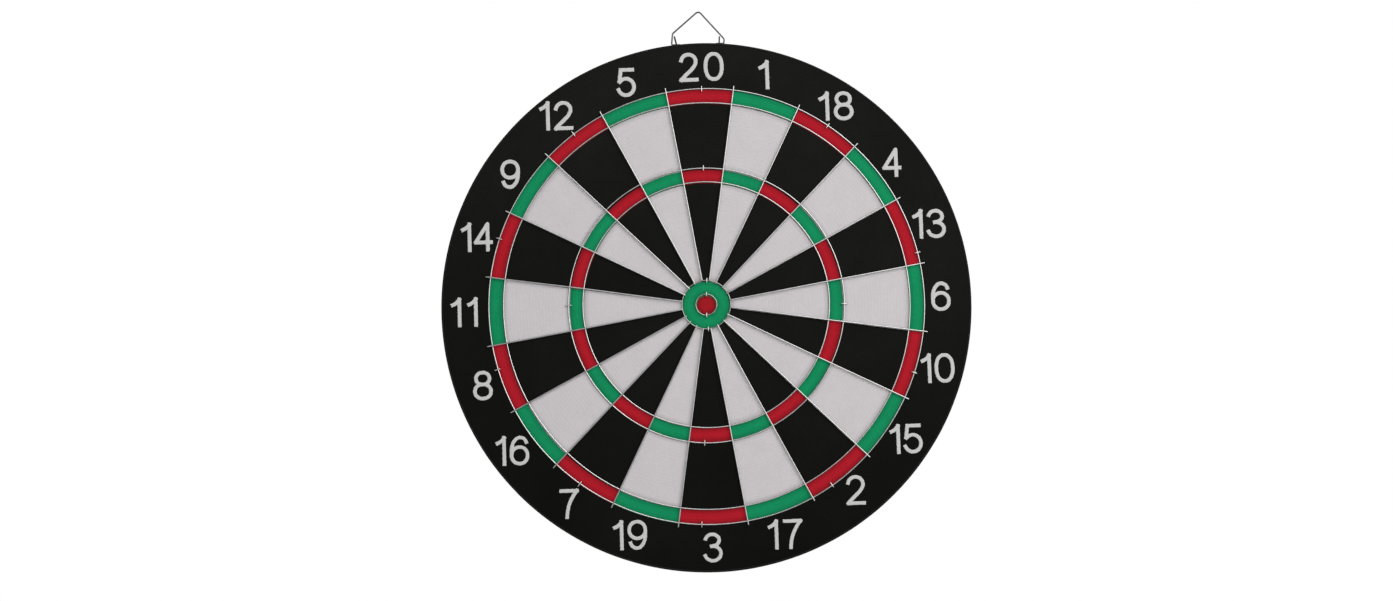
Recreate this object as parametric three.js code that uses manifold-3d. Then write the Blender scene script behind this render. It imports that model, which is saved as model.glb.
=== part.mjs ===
// A traditional dartboard: a disc wound from paper strip, a flocked sheet on each side, a black
// binding around the edge, a spider of steel wires stapled over the scoring face, and a wire bail
// that swings in two wire eyes in the top of the rim.
//
// Millimetres. The origin is the centre of the rear face, +Z is up and the scoring face looks
// along -Y. A clock angle runs clockwise from the top, as a player sees the board.

import * as THREE from "three";
import Module from "manifold-3d";
import { mergeVertices } from "three/addons/utils/BufferGeometryUtils.js";

const wasm = await Module();
wasm.setup();

// ---------------------------------------------------------------- driving dimensions
const BOARD_RADIUS = 210;
const BOARD_THICKNESS = 19;
const BAND_THICKNESS = 1;
const SHEET_THICKNESS = 0.8;
const GLUE_GAP = 0.1; // between glued or resting faces
const FIT_GAP = 0.3; // around a piece that stands in a hole, or inside the band

const SPOKE_WIRE_RADIUS = 0.65;
const RING_WIRE_RADIUS = 0.5; // the double and treble rings
const BULL_WIRE_RADIUS = 0.45; // the two small rings
const RING_RADII = {
  outer_double_ring_wire: 172.4,
  inner_double_ring_wire: 160.9,
  outer_treble_ring_wire: 108.9,
  inner_treble_ring_wire: 97.4,
  outer_bull_ring_wire: 19.2,
  inner_bull_ring_wire: 8.3,
};
const SPOKE_INNER_RADIUS = 18.4;
const SPOKE_OUTER_RADIUS = 176.4;

const STAPLE_WIRE_RADIUS = 0.45;
const STAPLE_BEND_RADIUS = 0.9;
const STAPLE_DEPTH = 12; // from the scoring face to the leg tips
const WIDE_STAPLE_HALF_SPAN = 2.3; // leg to ring centre, on the double and treble rings
const NARROW_STAPLE_HALF_SPAN = 1.9; // the same, on the bull rings

// Each eye's legs stand straight in the rim, and its loop leans a little to the left or right.
const LEFT_EYE = { x: -17.3, crownX: -18.8, crownZ: 218 };
const RIGHT_EYE = { x: 17.2, crownX: 17.5, crownZ: 216.8 };
const EYE_WIRE_RADIUS = 0.6;
const EYE_HALF_SPAN = 2.6; // leg to the eye's middle
const EYE_LEAN_Z = 211.6; // where the legs turn into the leaning loop
const EYE_LEAN_BEND_RADIUS = 1;
const EYE_DEPTH = 12; // from the rim to the leg tips

const BAIL_WIRE_RADIUS = 0.65;
const BAIL_PIVOT_Z = 211.4;
const BAIL_FOOT_END_X = 14.4;
const BAIL_LEFT_FOOT_X = -21.3; // bent by hand, so the two sides differ a little
const BAIL_LEFT_KNEE = { x: -20.2, z: 220.7 };
const BAIL_APEX = { x: 1.3, z: 238.7 }; // where the legs would meet if the apex were sharp
const BAIL_RIGHT_KNEE = { x: 21.4, z: 215 };
const BAIL_RIGHT_FOOT_X = 21;
const BAIL_FOOT_BEND_RADIUS = 1.2;
const BAIL_KNEE_BEND_RADIUS = 2.5;
const BAIL_APEX_BEND_RADIUS = 2.8;

const DISC_SEGMENTS = 96;
const LARGE_RING_SEGMENTS = 72;
const BULL_RING_SEGMENTS = 36;
const RING_WIRE_SIDES = 6;
const STAPLE_SIDES = 6;
const WIRE_SIDES = 8;

// ---------------------------------------------------------------- the order of the numbers
const NUMBERS = [20, 1, 18, 4, 13, 6, 10, 15, 2, 17, 3, 19, 7, 16, 8, 11, 14, 9, 12, 5];
const SEGMENT_DEGREES = 360 / NUMBERS.length;

// Each staple sits in one segment, a few degrees off its middle because it was driven by hand.
const DOUBLE_RING_STAPLES = [
  { number: 20, offset: 0.6 },
  { number: 18, offset: 0 },
  { number: 13, offset: 6 },
  { number: 10, offset: 2 },
  { number: 2, offset: 3 },
  { number: 3, offset: 3 },
  { number: 7, offset: 1 },
  { number: 8, offset: 2.5 },
  { number: 14, offset: 1.5 },
  { number: 12, offset: 0 },
];
const TREBLE_RING_STAPLES = [
  { number: 20, offset: 0.6 },
  { number: 6, offset: 1.5 },
  { number: 3, offset: 2.5 },
  { number: 11, offset: 1.5 },
];
const BULL_STAPLES = [
  { name: "outer_bull_staple_top", ring: "outer_bull_ring_wire", clock: 3 },
  { name: "outer_bull_staple_bottom", ring: "outer_bull_ring_wire", clock: 177 },
  { name: "inner_bull_staple_top", ring: "inner_bull_ring_wire", clock: 2 },
  { name: "inner_bull_staple_bottom", ring: "inner_bull_ring_wire", clock: 180 },
];

// ---------------------------------------------------------------- levels along Y
const FACE_Y = -BOARD_THICKNESS;
const MIDDLE_Y = -BOARD_THICKNESS / 2;
const CORE_FRONT_Y = FACE_Y + SHEET_THICKNESS + GLUE_GAP;
const CORE_REAR_Y = -SHEET_THICKNESS - GLUE_GAP;
const RING_FRONT_Y = FACE_Y - GLUE_GAP - 2 * RING_WIRE_RADIUS;
const SPOKE_Y = RING_FRONT_Y - GLUE_GAP - SPOKE_WIRE_RADIUS;
const crownLevel = (wireRadius) => FACE_Y - 2 * GLUE_GAP - 2 * wireRadius - STAPLE_WIRE_RADIUS;
const INNER_RADIUS = BOARD_RADIUS - BAND_THICKNESS - FIT_GAP;

// ---------------------------------------------------------------- materials
const flockBlack = { color: 0x1d1d1b, roughness: 0.95, metalness: 0 };
const paperKraft = { color: 0xa9825a, roughness: 0.9, metalness: 0 };
const bandBlack = { color: 0x171716, roughness: 0.7, metalness: 0 };
const brightWire = { color: 0xc9c9c6, roughness: 0.28, metalness: 1 };
const stapleWire = { color: 0xd3d2cd, roughness: 0.32, metalness: 1 };
const hangerWire = { color: 0xa4a4a2, roughness: 0.35, metalness: 1 };

const board = new THREE.Group();

function addMesh(name, geometry, finish) {
  const mesh = new THREE.Mesh(geometry, new THREE.MeshStandardMaterial(finish));
  mesh.name = name;
  board.add(mesh);
  return mesh;
}

// ---------------------------------------------------------------- geometry helpers
// A wire's centre line: straight runs joined by round bends. Every extrusion step is one station.
class BentWire extends THREE.Curve {
  constructor(corners, bendRadii, bendSteps) {
    super();
    const last = corners.length - 1;
    const run = (i) => corners[i + 1].clone().sub(corners[i]).normalize();
    this.stations = [{ point: corners[0], tangent: run(0) }];
    for (let i = 1; i < last; i += 1) {
      this.addBend(corners[i], run(i - 1), run(i), bendRadii[i - 1], bendSteps);
    }
    this.stations.push({ point: corners[last], tangent: run(last - 1) });
  }

  addBend(corner, into, out, radius, steps) {
    const turn = into.angleTo(out);
    const inward = out.clone().addScaledVector(into, -out.dot(into)).normalize();
    const start = corner.clone().addScaledVector(into, -radius * Math.tan(turn / 2));
    const centre = start.addScaledVector(inward, radius);
    for (let k = 0; k <= steps; k += 1) {
      const angle = (turn * k) / steps;
      const point = centre.clone().addScaledVector(inward, -radius * Math.cos(angle));
      point.addScaledVector(into, radius * Math.sin(angle));
      const tangent = into.clone().multiplyScalar(Math.cos(angle));
      tangent.addScaledVector(inward, Math.sin(angle));
      this.stations.push({ point, tangent });
    }
  }

  get steps() {
    return this.stations.length - 1;
  }

  station(t) {
    return this.stations[Math.round(t * this.steps)];
  }

  getPoint(t) {
    return this.station(t).point.clone();
  }

  getPointAt(t) {
    return this.getPoint(t);
  }

  getTangentAt(t) {
    return this.station(t).tangent.clone();
  }
}

function circleShape(radius, sides) {
  const shape = new THREE.Shape();
  for (let k = 0; k < sides; k += 1) {
    const angle = (2 * Math.PI * (k + 0.5)) / sides;
    const x = radius * Math.cos(angle);
    const y = radius * Math.sin(angle);
    if (k === 0) {
      shape.moveTo(x, y);
    } else {
      shape.lineTo(x, y);
    }
  }
  shape.closePath();
  return shape;
}

function bentWire(corners, bendRadii, bendSteps, radius, sides) {
  const path = new BentWire(corners, bendRadii, bendSteps);
  return new THREE.ExtrudeGeometry(circleShape(radius, sides), {
    steps: path.steps,
    extrudePath: path,
    bevelEnabled: false,
  });
}

// A ring of wire around the board's axis, resting on the scoring face.
function ringWire(ringRadius, wireRadius, segments) {
  const y = FACE_Y - GLUE_GAP - wireRadius;
  const profile = [];
  for (let k = 0; k <= RING_WIRE_SIDES; k += 1) {
    const angle = (2 * Math.PI * (k % RING_WIRE_SIDES)) / RING_WIRE_SIDES;
    const r = ringRadius + wireRadius * Math.sin(angle);
    profile.push(new THREE.Vector2(r, y + wireRadius * Math.cos(angle)));
  }
  return new THREE.LatheGeometry(profile.reverse(), segments);
}

// A disc of the wound board's inner radius, between two levels of Y.
function disc(lowY, highY) {
  const geometry = new THREE.CylinderGeometry(
    INNER_RADIUS,
    INNER_RADIUS,
    highY - lowY,
    DISC_SEGMENTS,
  );
  geometry.translate(0, (lowY + highY) / 2, 0);
  return geometry;
}

function toSolid(geometry) {
  const bare = geometry.clone();
  bare.deleteAttribute("normal");
  bare.deleteAttribute("uv");
  const welded = mergeVertices(bare);
  return new wasm.Manifold(
    new wasm.Mesh({
      numProp: 3,
      vertProperties: new Float32Array(welded.attributes.position.array),
      triVerts: new Uint32Array(welded.index.array),
    }),
  );
}

function toGeometry(solid) {
  const mesh = solid.getMesh();
  const geometry = new THREE.BufferGeometry();
  geometry.setAttribute("position", new THREE.BufferAttribute(mesh.vertProperties, 3));
  geometry.setIndex(new THREE.BufferAttribute(mesh.triVerts, 1));
  geometry.computeVertexNormals();
  return geometry;
}

function drill(geometry, holes) {
  let solid = toSolid(geometry);
  for (const hole of holes) {
    solid = solid.subtract(toSolid(hole));
  }
  return toGeometry(solid);
}

// A round hole that leaves the fit gap all around a leg of the given radius.
function holeCutter(legRadius, length) {
  const radius = (legRadius + FIT_GAP) / Math.cos(Math.PI / WIRE_SIDES);
  return new THREE.CylinderGeometry(radius, radius, length, WIRE_SIDES);
}

// ---------------------------------------------------------------- the staples
const radians = THREE.MathUtils.degToRad;
const clockOfNumber = (number) => NUMBERS.indexOf(number) * SEGMENT_DEGREES;

function segmentStaples(prefix, ring, rows) {
  return rows.map(({ number, offset }) => ({
    name: `${prefix}_${number}`,
    ringRadius: RING_RADII[ring],
    clock: clockOfNumber(number) + offset,
    halfSpan: WIDE_STAPLE_HALF_SPAN,
    crownY: crownLevel(RING_WIRE_RADIUS),
  }));
}

const staples = [
  ...segmentStaples("double_ring_staple", "outer_double_ring_wire", DOUBLE_RING_STAPLES),
  ...segmentStaples("treble_ring_staple", "outer_treble_ring_wire", TREBLE_RING_STAPLES),
  ...BULL_STAPLES.map(({ name, ring, clock }) => ({
    name,
    ringRadius: RING_RADII[ring],
    clock,
    halfSpan: NARROW_STAPLE_HALF_SPAN,
    crownY: crownLevel(BULL_WIRE_RADIUS),
  })),
];

// A staple straddles its ring wire: the crown lies across it and the legs stand in the board.
function stapleGeometry({ ringRadius, halfSpan, crownY }) {
  const tipY = FACE_Y + STAPLE_DEPTH;
  const corners = [
    new THREE.Vector3(0, tipY, ringRadius - halfSpan),
    new THREE.Vector3(0, crownY, ringRadius - halfSpan),
    new THREE.Vector3(0, crownY, ringRadius + halfSpan),
    new THREE.Vector3(0, tipY, ringRadius + halfSpan),
  ];
  const bends = [STAPLE_BEND_RADIUS, STAPLE_BEND_RADIUS];
  return bentWire(corners, bends, 3, STAPLE_WIRE_RADIUS, STAPLE_SIDES);
}

// The two holes that a staple's legs stand in, from in front of the face to past their tips.
function stapleHoles({ ringRadius, halfSpan, clock }) {
  const frontY = FACE_Y - 1;
  const endY = FACE_Y + STAPLE_DEPTH + FIT_GAP;
  return [-halfSpan, halfSpan].map((side) => {
    const hole = holeCutter(STAPLE_WIRE_RADIUS, endY - frontY);
    hole.translate(0, (frontY + endY) / 2, ringRadius + side);
    hole.rotateY(radians(clock));
    return hole;
  });
}

// ---------------------------------------------------------------- the hanger eyes
const rimZAtEye = Math.sqrt(BOARD_RADIUS ** 2 - LEFT_EYE.x ** 2);
const eyeTipZ = rimZAtEye - EYE_DEPTH;

// A narrow U that stands in the rim with its legs one behind the other.
function eyeGeometry({ x, crownX, crownZ }) {
  const at = (px, side, pz) => new THREE.Vector3(px, MIDDLE_Y + side * EYE_HALF_SPAN, pz);
  const corners = [
    at(x, -1, eyeTipZ),
    at(x, -1, EYE_LEAN_Z),
    at(crownX, -1, crownZ),
    at(crownX, 1, crownZ),
    at(x, 1, EYE_LEAN_Z),
    at(x, 1, eyeTipZ),
  ];
  const crownBend = EYE_HALF_SPAN - 0.1;
  const bends = [EYE_LEAN_BEND_RADIUS, crownBend, crownBend, EYE_LEAN_BEND_RADIUS];
  return bentWire(corners, bends, 5, EYE_WIRE_RADIUS, WIRE_SIDES);
}

function eyeHoles({ x }) {
  const lowZ = eyeTipZ - FIT_GAP;
  const highZ = BOARD_RADIUS + 1;
  return [-EYE_HALF_SPAN, EYE_HALF_SPAN].map((side) => {
    const hole = holeCutter(EYE_WIRE_RADIUS, highZ - lowZ);
    hole.rotateX(Math.PI / 2);
    hole.translate(x, MIDDLE_Y + side, (lowZ + highZ) / 2);
    return hole;
  });
}

// ---------------------------------------------------------------- the board's body
function addBoardBody() {
  const legHoles = staples.flatMap(stapleHoles);
  const rimHoles = [LEFT_EYE, RIGHT_EYE].flatMap(eyeHoles);

  const core = disc(CORE_FRONT_Y, CORE_REAR_Y);
  addMesh("paper_coil_core", drill(core, [...legHoles, ...rimHoles]), paperKraft);

  const frontSheet = disc(FACE_Y, FACE_Y + SHEET_THICKNESS);
  addMesh("front_flocked_face", drill(frontSheet, legHoles), flockBlack);
  addMesh("rear_flocked_face", disc(-SHEET_THICKNESS, 0), flockBlack);

  const bandInner = BOARD_RADIUS - BAND_THICKNESS;
  const profile = [
    new THREE.Vector2(bandInner, FACE_Y),
    new THREE.Vector2(BOARD_RADIUS, FACE_Y),
    new THREE.Vector2(BOARD_RADIUS, 0),
    new THREE.Vector2(bandInner, 0),
    new THREE.Vector2(bandInner, FACE_Y),
  ];
  const band = new THREE.LatheGeometry(profile, DISC_SEGMENTS);
  addMesh("rim_band", drill(band, rimHoles), bandBlack);
}

// ---------------------------------------------------------------- the spider
function addSpider() {
  for (const [name, radius] of Object.entries(RING_RADII)) {
    const small = name.includes("bull");
    const segments = small ? BULL_RING_SEGMENTS : LARGE_RING_SEGMENTS;
    const wireRadius = small ? BULL_WIRE_RADIUS : RING_WIRE_RADIUS;
    addMesh(name, ringWire(radius, wireRadius, segments), brightWire);
  }

  const length = SPOKE_OUTER_RADIUS - SPOKE_INNER_RADIUS;
  NUMBERS.forEach((number, i) => {
    const next = NUMBERS[(i + 1) % NUMBERS.length];
    const geometry = new THREE.CylinderGeometry(
      SPOKE_WIRE_RADIUS,
      SPOKE_WIRE_RADIUS,
      length,
      WIRE_SIDES,
    );
    geometry.rotateX(Math.PI / 2);
    geometry.translate(0, SPOKE_Y, SPOKE_INNER_RADIUS + length / 2);
    const spoke = addMesh(`spoke_wire_${number}_${next}`, geometry, brightWire);
    spoke.rotation.y = radians((i + 0.5) * SEGMENT_DEGREES);
  });

  for (const staple of staples) {
    const mesh = addMesh(staple.name, stapleGeometry(staple), stapleWire);
    mesh.rotation.y = radians(staple.clock);
  }
}

// ---------------------------------------------------------------- the hanger
function addHanger() {
  addMesh("left_hanger_eye", eyeGeometry(LEFT_EYE), hangerWire);
  addMesh("right_hanger_eye", eyeGeometry(RIGHT_EYE), hangerWire);

  const at = (x, z) => new THREE.Vector3(x, MIDDLE_Y, z);
  const corners = [
    at(-BAIL_FOOT_END_X, BAIL_PIVOT_Z),
    at(BAIL_LEFT_FOOT_X, BAIL_PIVOT_Z),
    at(BAIL_LEFT_KNEE.x, BAIL_LEFT_KNEE.z),
    at(BAIL_APEX.x, BAIL_APEX.z),
    at(BAIL_RIGHT_KNEE.x, BAIL_RIGHT_KNEE.z),
    at(BAIL_RIGHT_FOOT_X, BAIL_PIVOT_Z),
    at(BAIL_FOOT_END_X, BAIL_PIVOT_Z),
  ];
  const bends = [
    BAIL_FOOT_BEND_RADIUS,
    BAIL_KNEE_BEND_RADIUS,
    BAIL_APEX_BEND_RADIUS,
    BAIL_KNEE_BEND_RADIUS,
    BAIL_FOOT_BEND_RADIUS,
  ];
  const bail = bentWire(corners, bends, 5, BAIL_WIRE_RADIUS, WIRE_SIDES);
  addMesh("hanger_bail", bail, hangerWire);
}

addBoardBody();
addSpider();
addHanger();

export default board;
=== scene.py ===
import math

import bmesh
import bpy
import numpy as np
from mathutils import Matrix, Vector


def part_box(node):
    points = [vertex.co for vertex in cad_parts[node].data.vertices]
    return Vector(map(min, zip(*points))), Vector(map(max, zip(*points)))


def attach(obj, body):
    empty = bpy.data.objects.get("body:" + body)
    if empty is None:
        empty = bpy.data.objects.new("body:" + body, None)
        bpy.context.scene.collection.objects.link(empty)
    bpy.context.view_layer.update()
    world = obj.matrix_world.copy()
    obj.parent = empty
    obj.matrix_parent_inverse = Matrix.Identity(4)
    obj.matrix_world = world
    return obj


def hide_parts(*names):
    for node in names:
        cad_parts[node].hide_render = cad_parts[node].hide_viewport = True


# The looks of a flocked dartboard wound from paper strip, with a stapled wire spider and a wire
# bail. Shapes are worked out in millimetres in the frame of the CAD model: +Z up, the scoring
# face along -Y. A clock angle runs clockwise from the top, in degrees.

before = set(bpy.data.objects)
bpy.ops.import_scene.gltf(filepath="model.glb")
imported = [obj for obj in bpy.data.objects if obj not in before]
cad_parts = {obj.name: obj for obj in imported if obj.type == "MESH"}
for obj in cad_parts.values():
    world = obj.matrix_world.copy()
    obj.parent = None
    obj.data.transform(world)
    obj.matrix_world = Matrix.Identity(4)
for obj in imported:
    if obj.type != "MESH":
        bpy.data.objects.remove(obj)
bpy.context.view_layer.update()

MM = 0.001

# ---------------------------------------------------------------- the artwork
NUMBERS = (20, 1, 18, 4, 13, 6, 10, 15, 2, 17, 3, 19, 7, 16, 8, 11, 14, 9, 12, 5)
SEGMENT = 360 / len(NUMBERS)
# Radii of the edges between the colours.
INNER_BULL = 7.4
OUTER_BULL = 18.7
TREBLE = (97.1, 108.1)
DOUBLE = (161.0, 172.7)
FLOCK_EDGE = 208.9
ARTWORK_DROP = 0.45  # the colours sit this much lower than the wires

# ---------------------------------------------------------------- levels and pile
FACE_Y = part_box("front_flocked_face")[0].y / MM
PILE_TOP = FACE_Y + 0.15
PILE_FOOT = FACE_Y + 0.62
SHEET_FRONT = PILE_FOOT - 0.1
SHEET_BACK = FACE_Y + 0.78
NUMERAL_LIFT = 0.22  # how far a numeral stands proud of the pile
NUMERAL_SINK = 0.12  # how far its edge is sunk in the pile
NUMERAL_BASE = 0.2  # the thickness of its edge
# How far in from the edge of a colour, and how much lower the rolled-down pile is there.
EDGE_ROLL = ((0.02, 0.4), (0.07, 0.2), (0.18, 0.06), (0.45, 0.0))

# ---------------------------------------------------------------- wires
# A value that is named after a wire alone is its radius.
SPOKE_WIRE = 0.59
SPOKE_HALF_LENGTH = 79.4
STAPLE_WIRE = 0.45
STAPLE_BEND = 0.9
STAPLE_DEPTH = 11.5
WIDE_STAPLE_HALF_SPAN = 2.3
NARROW_STAPLE_HALF_SPAN = 1.9
EYE_WIRE = 0.6
EYE_HALF_SPAN = 2.6
EYE_LEAN_Z = 211.6
EYE_BENDS = (1.0, 2.5, 2.5, 1.0)
# The x of each eye's legs, and of the top of its leaning loop.
EYES = {"left_hanger_eye": (-17.3, -18.8), "right_hanger_eye": (17.2, 17.5)}
BAIL_WIRE = 0.64
BAIL_CORNERS = (
    (-14.4, 211.4), (-21.3, 211.4), (-20.2, 220.7), (1.3, 238.65),
    (21.4, 215.0), (21.0, 211.4), (14.4, 211.4),
)
BAIL_BENDS = (1.2, 2.5, 2.8, 2.5, 1.2)

# Each ring, and how far right and up of the board's axis it was stapled.
RINGS = {
    "outer_double_ring_wire": (0.3, 0.0),
    "inner_double_ring_wire": (0.4, 0.5),
    "outer_treble_ring_wire": (0.1, 0.2),
    "inner_treble_ring_wire": (0.0, 0.3),
    "outer_bull_ring_wire": (0.0, 0.0),
    "inner_bull_ring_wire": (0.0, 0.0),
}
# Spokes that were tacked a little to one side, by the number before them: how far clockwise.
SPOKES_ASIDE = {
    1: -0.4, 4: -0.3, 6: -0.4, 10: -0.2, 15: -0.3, 19: -0.5,
    7: -0.2, 16: -0.5, 8: -0.25, 14: -0.4, 5: 0.3,
}


# ---------------------------------------------------------------- small helpers
def smoothstep(t):
    """Zero below 0, one above 1, and a smooth rise between."""
    t = np.clip(t, 0.0, 1.0)
    return t * t * (3 - 2 * t)


def clock_xz(radius, clock):
    """The x and z of a point at a clock angle in degrees."""
    a = np.radians(clock)
    return radius * np.sin(a), radius * np.cos(a)


class Waves:
    """A repeatable unevenness over the plane, about one unit high: sines in random directions."""

    def __init__(self, seed, wavelength, count=10):
        rng = np.random.default_rng(seed)
        heading = rng.uniform(0, 2 * math.pi, count)
        number = 2 * math.pi / (wavelength * rng.uniform(0.7, 1.5, count))
        self.kx = number * np.cos(heading)
        self.kz = number * np.sin(heading)
        self.phase = rng.uniform(0, 2 * math.pi, count)

    def at(self, x, z):
        """The height at each x and z, in millimetres."""
        x, z = np.broadcast_arrays(np.asarray(x, float), np.asarray(z, float))
        angle = x[..., None] * self.kx + z[..., None] * self.kz + self.phase
        return np.sin(angle).sum(-1) * math.sqrt(2 / len(self.phase)) * 0.7


EDGE_WOBBLE_X = Waves(1, 4.0)
EDGE_WOBBLE_Z = Waves(2, 4.0)
FACE_SWELL = Waves(3, 34.0)
PILE_LUMPS = Waves(4, 5.0, 16)


def merged(parts):
    """One (vertices, faces) from several."""
    vertices = []
    faces = []
    for some_vertices, some_faces in parts:
        start = len(vertices)
        vertices.extend(some_vertices)
        faces.extend(tuple(i + start for i in face) for face in some_faces)
    return vertices, faces


def piece(name, shape, material, body="board", replaces=(), sharp_angle=50):
    """Makes a closed mesh from millimetres, gives it a finish, and fastens it to a CAD body."""
    vertices, faces = shape
    mesh = bpy.data.meshes.new(name)
    scaled = (np.array(vertices, float) * MM).tolist()
    mesh.from_pydata(scaled, [], faces)
    work = bmesh.new()
    work.from_mesh(mesh)
    bmesh.ops.recalc_face_normals(work, faces=work.faces)
    work.to_mesh(mesh)
    work.free()
    mesh.materials.append(material)
    mesh.polygons.foreach_set("use_smooth", [True] * len(mesh.polygons))
    mesh.set_sharp_from_angle(angle=math.radians(sharp_angle))
    made = bpy.data.objects.new(name, mesh)
    bpy.context.scene.collection.objects.link(made)
    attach(made, body)
    if replaces:
        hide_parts(*replaces)
    return made


# ---------------------------------------------------------------- materials
class Shader:
    """A node material around one Principled shader, whose plain values are set on its sockets."""

    def __init__(self, name, values):
        self.material = bpy.data.materials.new(name)
        self.material.use_nodes = True
        self.tree = self.material.node_tree
        self.surface = self.tree.nodes["Principled BSDF"]
        for socket, value in values.items():
            self.surface.inputs[socket].default_value = value
        place = self.tree.nodes.new("ShaderNodeTexCoord")
        self.place = place.outputs["Object"]

    def add(self, kind, inputs, **settings):
        """A node of a kind, with its settings made and its inputs fed by name or place."""
        made = self.tree.nodes.new(kind)
        for key, value in settings.items():
            setattr(made, key, value)
        for key, value in inputs.items():
            self.feed(made.inputs[key], value)
        return made

    def feed(self, socket, value):
        """Links a socket to another, or gives it a plain value."""
        if isinstance(value, bpy.types.NodeSocket):
            self.tree.links.new(value, socket)
        else:
            socket.default_value = value

    def noise(self, size_mm, detail=2.0, stretch=None):
        """Noise whose blobs are about size_mm across, drawn out along an axis by stretch."""
        place = self.place
        if stretch:
            place = self.add("ShaderNodeMapping", {"Vector": place, "Scale": stretch}).outputs[0]
        inputs = {"Vector": place, "Scale": 1 / (size_mm * MM), "Detail": detail}
        return self.add("ShaderNodeTexNoise", inputs).outputs["Fac"]

    def rings(self, pitch_mm, wander):
        """Fine rings about the board's axis, as the wound strip makes them."""
        inputs = {
            "Vector": self.place,
            "Scale": math.pi / (10 * pitch_mm * MM),
            "Distortion": wander,
            "Detail": 2.0,
        }
        made = self.add("ShaderNodeTexWave", inputs, wave_type="RINGS", rings_direction="Y")
        return made.outputs["Fac"]

    def beside_rings(self, depth):
        """One, falling by depth towards the edges of the score rings: painted shade beside the ring
        wires.
        """
        flat = self.add("ShaderNodeVectorMath", {0: self.place, 1: (1, 0, 1)}, operation="MULTIPLY")
        away = self.add("ShaderNodeVectorMath", {0: flat.outputs[0]}, operation="LENGTH")
        radius = away.outputs["Value"]
        # The two wires of the bull stand a little outside their colours.
        edges = (INNER_BULL + 0.9, OUTER_BULL + 0.5, *TREBLE, *DOUBLE)
        nearest_edge = 1.0
        for edge in edges:
            offset = self.maths("ABSOLUTE", self.maths("SUBTRACT", radius, edge * MM))
            nearest_edge = self.maths("MINIMUM", offset, nearest_edge)
        return self.spread(nearest_edge, 1 - depth, 1.0, 0.9 * MM, 4.4 * MM)

    def maths(self, operation, a, b=0.0):
        return self.add("ShaderNodeMath", {0: a, 1: b}, operation=operation).outputs[0]

    def spread(self, value, low, high, from_low=0.3, from_high=0.7):
        """Maps a value's middle range to low..high."""
        inputs = {
            "Value": value,
            "From Min": from_low,
            "From Max": from_high,
            "To Min": low,
            "To Max": high,
        }
        return self.add("ShaderNodeMapRange", inputs).outputs["Result"]

    def shaded(self, colour, shade):
        """The colour made lighter or darker by a value about 1."""
        made = self.add("ShaderNodeVectorMath", {0: colour}, operation="SCALE")
        self.feed(made.inputs["Scale"], shade)
        return made.outputs["Vector"]

    def blend(self, factor, a, b):
        """Colour a where the factor is 0 and colour b where it is 1."""
        made = self.add("ShaderNodeMix", {}, data_type="RGBA")
        self.feed(made.inputs["Factor"], factor)
        self.feed(made.inputs["A"], (*a, 1.0))
        self.feed(made.inputs["B"], (*b, 1.0))
        return made.outputs["Result"]

    def bump(self, height, strength, depth_mm):
        inputs = {"Height": height, "Strength": strength, "Distance": depth_mm * MM}
        normal = self.add("ShaderNodeBump", inputs).outputs["Normal"]
        self.feed(self.surface.inputs["Normal"], normal)

    def instead(self, closure):
        """Shows another shader in the place of the Principled one."""
        self.tree.nodes.remove(self.surface)
        self.feed(self.tree.nodes["Material Output"].inputs["Surface"], closure)

    def colour(self, value):
        self.feed(self.surface.inputs["Base Color"], value)

    def roughness(self, value):
        self.feed(self.surface.inputs["Roughness"], value)


def linear(red, green, blue):
    """An sRGB colour of 0 to 255 as linear values."""
    values = (red / 255, green / 255, blue / 255)
    return tuple(v / 12.92 if v <= 0.04045 else ((v + 0.055) / 1.055) ** 2.4 for v in values)


def flock_material(name, colour, sheen, mottle, shine=0.12, drift_and_top_light=0.0, wire_shade=0.0):
    """Short upright fibres: matt, a little furry at a slant, patchy where the pile leans.

    With a drift the colour also changes slowly over the board, and is paler towards its top:
    painted light, as if lit from above. Along the ring wires it is darker: painted shade beside the
    wires.
    """
    values = {"Sheen Weight": sheen, "Sheen Roughness": 0.45, "Specular IOR Level": shine}
    shader = Shader(name, values)
    tufts = shader.noise(0.55, 3)
    clumps = shader.noise(2.4, 3)
    patches = shader.noise(17, 3)
    coil = shader.rings(2.6, 1.2)
    grain = shader.maths("MULTIPLY_ADD", tufts, 0.5)
    shader.feed(grain.node.inputs[2], shader.maths("MULTIPLY", clumps, 0.5))
    lean = shader.maths("MULTIPLY_ADD", patches, 0.8)
    shader.feed(lean.node.inputs[2], shader.maths("MULTIPLY", coil, 0.2))
    fine = shader.spread(grain, 1 - mottle, 1 + mottle)
    wide = shader.spread(lean, 1 - mottle * 0.5, 1 + mottle * 0.5)
    if drift_and_top_light:
        # Painted light: paler towards the top, as if lit from above, on top of a slow random
        # change.
        height = {0: shader.place, 1: (0.15, 0.0, 0.99)}
        upward = shader.add("ShaderNodeVectorMath", height, operation="DOT_PRODUCT")
        painted_top_light = shader.maths("MULTIPLY_ADD", upward.outputs["Value"], drift_and_top_light / 0.19)
        broad = shader.spread(shader.noise(110, 1), 1 - drift_and_top_light / 2, 1 + drift_and_top_light / 2)
        shader.feed(painted_top_light.node.inputs[2], broad)
        wide = shader.maths("MULTIPLY", wide, painted_top_light)
    # Painted shade: darker beside the ring wires.
    if wire_shade:
        wide = shader.maths("MULTIPLY", wide, shader.beside_rings(wire_shade))
    shader.colour(shader.shaded(colour, shader.maths("MULTIPLY", fine, wide)))
    shader.roughness(shader.spread(grain, 0.86, 1.0))
    height = shader.maths("MULTIPLY_ADD", coil, 0.12)
    shader.feed(height.node.inputs[2], grain)
    shader.bump(height, 0.5, 0.3)
    return shader.material


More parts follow.
